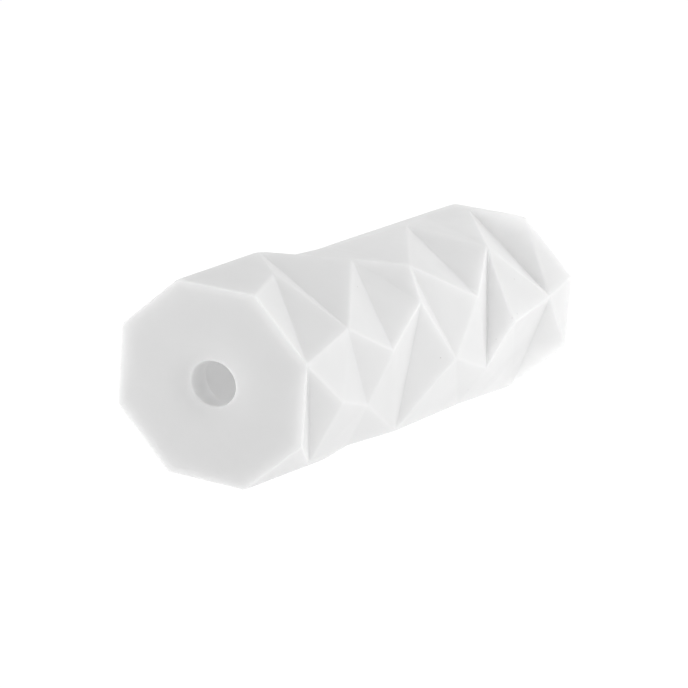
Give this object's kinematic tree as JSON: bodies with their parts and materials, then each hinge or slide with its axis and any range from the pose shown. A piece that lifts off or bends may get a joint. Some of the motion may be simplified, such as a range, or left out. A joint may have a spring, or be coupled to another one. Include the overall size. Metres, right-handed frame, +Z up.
{
  "type": "faceted elastomer sleeve",
  "caption": "Soft translucent moulded elastomer sleeve: a triangular-faceted column with flat octagonal ends and a round mouth into a blind cavity.",
  "frame": {"origin": "middle of the surface that the sleeve lies on, under the centre of its bounding box", "axes": "+Y along the length from the mouth to the closed end, +Z up as it lies on its side"},
  "size_m": [0.06, 0.1424, 0.0521],
  "materials": {
    "elastomer": "soft matte translucent white"
  },
  "bodies": {
    "root": {"faceted_sleeve": "elastomer"}
  },
  "joints": []
}
